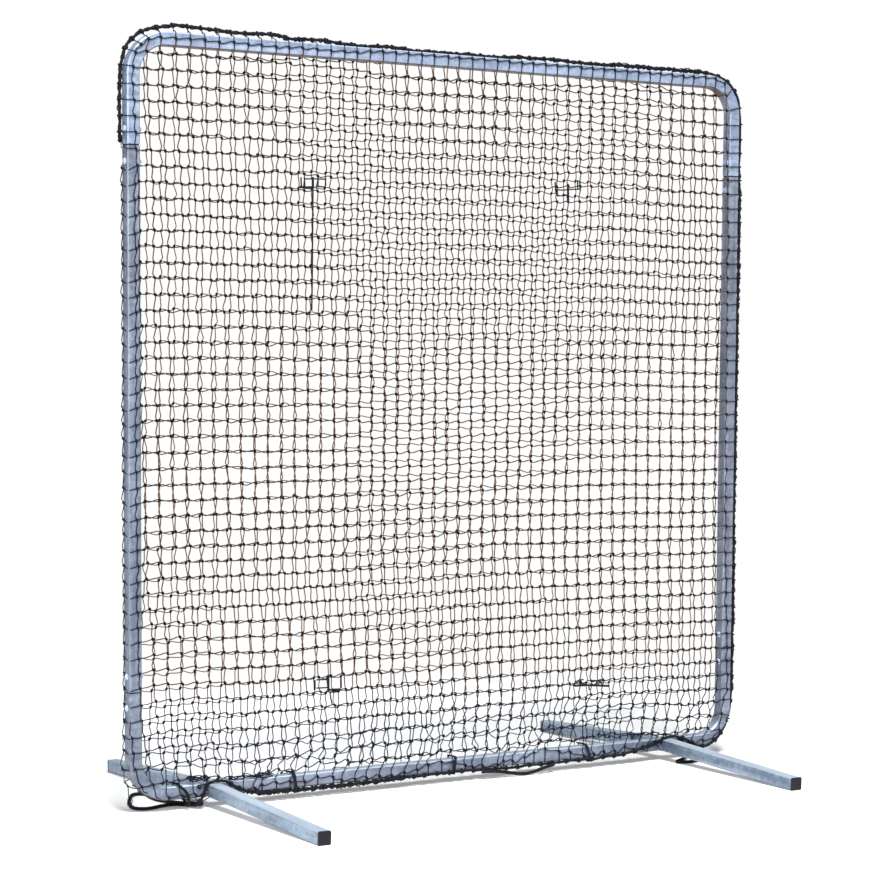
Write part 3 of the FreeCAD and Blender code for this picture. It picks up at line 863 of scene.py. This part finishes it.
# %% [markdown]
# A net's knot is a small hard lump, longer than it is wide, and it always leans the same way. Each is
# a short cord that is thick in its middle and thin at its ends: a few dozen faces, because there are
# thousands of them.


# %% Knots
def knot_line(place, shuffle, mirror=1):
    """A knot's four points, thin at both ends."""
    thin = 0.45
    lean = Vector((0.0026 * mirror, 0, -0.0042))
    lean.rotate(Matrix.Rotation(shuffle.gauss(0, 0.22), 3, "Y"))
    fat = shuffle.gauss(1.0, 0.08)
    return [(place - lean, thin), (place - lean * 0.5, fat), (place + lean * 0.5, fat), (place + lean, thin)]


knot_thickness = 0.0082
fold_knot_thickness = 0.0066
for face, layer, _, _, weight in faces:
    shuffle = random.Random(120 + layer)
    mirror = -1 if layer else 1
    lines = [knot_line(place, shuffle, mirror) for column in layers[layer] for place in column]
    knots = cords(face + "_net_knots", lines, knot_thickness * weight)
    finish_piece(knots, knot_twine, "net_twine", face + "_net")

shuffle = random.Random(140)
fold_lumps = cords("left_fold_knots", [knot_line(place, shuffle) for place in fold_knots],
                   fold_knot_thickness)
finish_piece(fold_lumps, knot_twine, "net_twine", "net_left_fold")

# %% [markdown]
# The border isn't a bare rope. The net's edge strings are gathered along it and wound round it, so it
# looks thick and ragged, most of all at the top left and the bottom left. Loose windings do that
# here, and every string that arrives is hitched round the rope with a small lump.


# %% Gathered edge on the rope
def gathered(first, last, reach, lay, seed):
    """Loose windings round a stretch of the rope, between two places near it."""
    ends = [rope_line.index(nearest_on_rope(Vector(place))) for place in (first, last)]

    def spread(number, strand):
        return reach * (1 + 0.8 * noise.noise(Vector((number * 0.31, strand * 5.0, seed))))

    return wound(rope_line[ends[0]:ends[1] + 1], lay, 2, 7, spread)


rope_start = (-1.038, 0.026, 1.861)
top_middle = (0.55, -0.001, 2.174)
top_end = (0.93, -0.012, 2.172)
side_start = (1.074, -0.012, 1.87)
side_end = (1.074, -0.012, 0.20)
right_arch = (0.66, -0.026, 0.034)
left_thick = (-0.16, -0.026, 0.026)
left_arch = (-0.69, -0.026, 0.031)
winding_thickness = 0.0034
windings = []
for stretch in (
        (rope_start, top_end, 0.0050, 0.055, 1.0), (rope_start, top_end, 0.0038, 0.083, 2.0),
        (top_middle, top_end, 0.0062, 0.047, 7.0), (side_start, side_end, 0.0052, 0.052, 3.0),
        (side_start, side_end, 0.0040, 0.080, 8.0), (right_arch, left_thick, 0.0030, 0.070, 4.0),
        (left_thick, left_arch, 0.0066, 0.060, 5.0), (left_thick, left_arch, 0.0052, 0.041, 6.0)):
    windings += gathered(*stretch)
gather = cords("gathered_edge", windings, winding_thickness)
finish_piece(gather, black_rope, "net_twine", "border_rope")


def hitch(anchor, shuffle):
    """One turn round the rope in eight steps, of an uneven thickness."""
    steps = 8
    number = rope_line.index(anchor)
    along = (rope_line[min(number + 1, len(rope_line) - 1)] - rope_line[max(number - 1, 0)]).normalized()
    side = along.orthogonal().normalized()
    other = along.cross(side)
    reach = rope_thickness * 0.58 + twine_thickness * 0.45
    ring = []
    for step in range(steps + 1):
        angle = 2 * math.pi * step / steps
        out = side * math.cos(angle) + other * math.sin(angle)
        ring.append((anchor + out * reach + along * (0.0024 * (step / 4 - 1)), shuffle.uniform(1.2, 1.7)))
    return ring


shuffle = random.Random(160)
hitches = cords("rope_hitches", [hitch(anchor, shuffle) for anchor in hitched], twine_thickness)
finish_piece(hitches, black_rope, "net_twine", "net_right_edge")

# %% [markdown]
# Where the rope arches over a front leg's root, the slack of both faces has slipped down and lies
# bunched on the rail and against the root. A tangle of short strings that wander at random inside a
# small box looks like it, and costs little.


# %% Bunched net at the leg roots
def tangle(shuffle, low, high, count):
    """Short wandering strings between two corners of a box."""
    lines = []
    for string in range(count):
        place = Vector([shuffle.uniform(a, b) for a, b in zip(low, high)])
        line = []
        for step in range(9):
            line.append((place.copy(), shuffle.uniform(0.8, 1.2)))
            place += Vector((shuffle.gauss(0, 0.014), shuffle.gauss(0, 0.006), shuffle.gauss(0, 0.007)))
            place = Vector([min(max(p, a), b) for p, a, b in zip(place, low, high)])
        lines.append(line)
    return lines


shuffle = random.Random(180)
rail_top = frame_bottom + tube_side
bunches = []
for low, high, count in (
        ((-0.880, -0.022, rail_top + 0.002), (-0.810, 0.012, rail_top + 0.022), 7),
        ((-0.860, -0.024, rail_top - 0.022), (-0.820, -0.021, rail_top), 3),
        ((0.690, -0.022, rail_top + 0.002), (0.790, 0.012, rail_top + 0.020), 6),
        ((-0.780, -0.022, rail_top + 0.001), (-0.600, 0.008, rail_top + 0.008), 5)):
    bunches += tangle(shuffle, low, high, count)
bunched = cords("bunched_net", bunches, twine_thickness * 0.9, 3)
finish_piece(bunched, row_twine, "net_twine", "front_net")

# %% [markdown]
# The lock nuts on the posts' inner sides have a wide flange and a blue collar, which catch the light as
# small pale discs. Each is one short cone from bmesh's own operator, turned to lie along the bolt.

# %% Flanges and collars of the nuts
bolt_from_seam = 0.044


def discs(name, low, high, base, height):
    """Short cones at the eight bolts; base is how far from the post they start."""
    data = bpy.data.meshes.new(name)
    shape = bmesh.new()
    for seam in ("upper_right_sleeve", "lower_right_sleeve"):
        middle = (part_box(seam)[0].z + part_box(seam)[1].z) / 2
        for side in (-1, 1):
            for step in (-bolt_from_seam, bolt_from_seam):
                place = Vector((side * (half_width - tube_side - base - height / 2), 0, middle + step))
                turn = Matrix.Rotation(-side * math.pi / 2, 4, "Y")
                bmesh.ops.create_cone(shape, cap_ends=True, segments=20, radius1=low, radius2=high,
                                      depth=height, matrix=Matrix.Translation(place) @ turn)
    shape.to_mesh(data)
    shape.free()
    return add_object(name, data)


flanges = discs("nut_flanges", 0.0100, 0.0086, 0.0, 0.0016)
finish_piece(flanges, bright_zinc, "zinc_fastener")
collars = discs("nut_collars", 0.0070, 0.0060, 0.0060, 0.0024)
finish_piece(collars, blue_nylon, "blue_nylon")

# %% [markdown]
# Four thinner ties of the same fibre go round the bottom rail and hold the border rope up against it.
# Each is wound twice, side by side. Most lean a little, the left one most, so a tie has one place at
# the rail's top and one at the rope.

# %% Rail ties
tie_places = ((-0.920, -0.891), (-0.547, -0.545), (0.012, -0.003), (0.492, 0.500))
tie_thickness = 0.0046
tie_top = frame_bottom + 0.038
half_way_up = frame_bottom + 0.03
tie_lines = []
for top_x, x in tie_places:
    rope_here = nearest_on_rope(Vector((x, -0.026, frame_bottom)))
    outline = [
        (half_side + 0.005, tie_top + 0.006), (0, tie_top + 0.0065),
        (-half_side - 0.005, tie_top + 0.006), (-half_side - 0.0075, frame_bottom + 0.018),
        (rope_here.y - 0.0065, rope_here.z + 0.003), (rope_here.y - 0.0045, rope_here.z - 0.0065),
        (rope_here.y + 0.010, rope_here.z - 0.0070), (0, frame_bottom - 0.006),
        (half_side + 0.004, frame_bottom - 0.004), (half_side + 0.0065, frame_bottom + 0.018)]
    line = []
    for turn in range(2):
        for number, (y, z) in enumerate(outline):
            shift = (turn + number / len(outline)) * tie_thickness - tie_thickness
            line.append((Vector((top_x + shift if z > half_way_up else x + shift, y, z)), 1))
    tie_lines.append(line)
ties = cords("rail_ties_wound", tie_lines, tie_thickness, 4)
finish_piece(ties, black_rope, "black_rope", "rail_ties")

# %% [markdown]
# A strike-zone target can be tied to the front face at four places, and its cords are there: short
# heavy lengths that follow the mesh, and one thin string that hangs down from the upper left one.
# Each stroke below is a cord through a few points of the face, across and up, in millimetres.

# %% Target cords
heavy_strokes = (
    ((-492, 1788), (-491, 1756)), ((-533, 1758), (-510, 1757), (-490, 1760)),
    ((-482, 343), (-482, 314)), ((-436, 355), (-436, 311)),
    ((-437, 311), (-397, 310)), ((397, 1804), (398, 1780), (399, 1746)),
    ((443, 263), (486, 263), (529, 258), (574, 254)))
light_strokes = (
    ((-530, 1786), (-529, 1758)), ((-519, 1787), (-518, 1759)), ((-474, 1786), (-475, 1763)),
    ((-449, 1787), (-451, 1761)), ((-481, 1762), (-449, 1761)),
    ((-520, 1781), (-487, 1784), (-448, 1783)),
    ((-491, 1758), (-491.5, 1723), (-492, 1610), (-493, 1496), (-494, 1408)),
    ((-475, 343), (-439, 342)), ((-475, 319), (-439, 318)), ((-394, 349), (-393, 314)),
    ((-433, 304), (-403, 303)), ((-430, 303), (-428, 278), (-422, 266)),
    ((350, 1808), (352, 1775)), ((358, 1787), (359, 1766)), ((433, 1817), (434, 1787)),
    ((442, 1815), (443, 1784)), ((350, 1786), (372, 1783), (397, 1787), (445, 1790)),
    ((358, 1766), (397, 1769)), ((502, 276), (559, 271)), ((461, 283), (462, 263)),
    ((497, 262), (498, 246)), ((530, 257), (540, 277), (550, 256)),
    ((444, 276), (475, 281)))
target_cord = 0.0074
light_factor = 0.62
front = -half_side - face_gap - 0.004
target_lines = []
for strokes, factor in ((heavy_strokes, 1.0), (light_strokes, light_factor)):
    for stroke in strokes:
        target_lines.append([(Vector((x / 1000, front - 0.001 * (number % 2), z / 1000)), factor)
                             for number, (x, z) in enumerate(stroke)])
targets = cords("target_cords", target_lines, target_cord, 6)
finish_piece(targets, black_rope, "black_rope", "target_ties")

# %% [markdown]
# The floor is white to the camera but still shows the object's shadow. Light Path's camera ray
# output lets the floor add some light of its own only where the camera looks, so the white doesn't
# come from stronger lamps and the steel keeps its colour. Further out it is plain white, which hides
# the horizon. The world does the same.

# %% Floor and background
floor_data = bpy.data.meshes.new("floor")
shape = bmesh.new()
bmesh.ops.create_grid(shape, x_segments=1, y_segments=1, size=30)
shape.to_mesh(floor_data)
shape.free()
floor = add_object("floor", floor_data)
ground = Finish("pale_floor")
ground.set(Base_Color=(0.80, 0.80, 0.80, 1), Roughness=0.95, Specular_IOR_Level=0.0)
lit_ground = Amount(ground, ground.surface.outputs[0])
glow = ground.node("Emission", {"Color": (1, 1, 1, 1), "Strength": 0.20})
white = ground.node("Emission", {"Color": (1, 1, 1, 1), "Strength": 1.0})
near = ground.node("AddShader", {0: glow, 1: lit_ground})
white_from, white_fully = 1.6, 2.4
x, y = ground.axes()[:2]
away = ground.shape((x * x + y * y).math("POWER", 0.5), white_from, white_fully)
shown = ground.node("MixShader", {0: away, 1: near, 2: white})
path = ground.tree.nodes.new("ShaderNodeLightPath")
seen = Amount(ground, path.outputs["Is Camera Ray"]).most(Amount(ground, path.outputs["Is Glossy Ray"]))
chosen = ground.node("MixShader", {0: seen, 1: lit_ground, 2: shown})
ground.tree.links.new(chosen.socket, ground.tree.nodes["Material Output"].inputs["Surface"])
floor_data.materials.append(ground.material)

world = bpy.data.worlds.new("studio")
bpy.context.scene.world = world
world.use_nodes = True
sky = world.node_tree
soft = sky.nodes["Background"]
soft.inputs["Color"].default_value = (0.86, 0.93, 1.0, 1)
soft.inputs["Strength"].default_value = 0.26
bright, rays, either, mix = [sky.nodes.new("ShaderNode" + kind)
                             for kind in ("Background", "LightPath", "Math", "MixShader")]
bright.inputs["Color"].default_value = (1, 1, 1, 1)
either.operation = "MAXIMUM"
for source, target in (
        (rays.outputs["Is Camera Ray"], either.inputs[0]),
        (rays.outputs["Is Transmission Ray"], either.inputs[1]),
        (either.outputs[0], mix.inputs[0]), (soft.outputs[0], mix.inputs[1]),
        (bright.outputs[0], mix.inputs[2]), (mix.outputs[0], sky.nodes["World Output"].inputs["Surface"])):
    sky.links.new(source, target)
print("floor and world", floor.name, world.name)

# %% [markdown]
# The photograph looks like daylight under an open sky: the upward faces are bright, the sides are
# darker, and the shadow lies close below. So one large soft lamp hangs high up and a little to the
# front, which hides the posts' shadows behind them, and a weak one lights the sides from the left.


# %% Lamps
def lamp(name, place, aim, size, power, colour):
    data = bpy.data.lights.new(name, "AREA")
    data.shape = "DISK"
    data.size = size
    data.energy = power
    data.color = colour
    direction = Vector(aim) - Vector(place)
    turn = direction.to_track_quat("-Z", "Y").to_matrix().to_4x4()
    add_object(name, data).matrix_world = Matrix.Translation(place) @ turn
    print(name, power, "W")


lamp("high", (-2.0, -7.0, 14.0), (0, 0, 0), 4.5, 3700, (1.0, 1.0, 1.0))
lamp("side", (-6.5, -3.5, 3.4), (0, 0, 1.1), 2.4, 200, (0.95, 0.98, 1.0))

# %% [markdown]
# The view transform is Standard, so that a colour renders about as it is written.

# %% Finish
bpy.context.scene.view_settings.view_transform = "Standard"
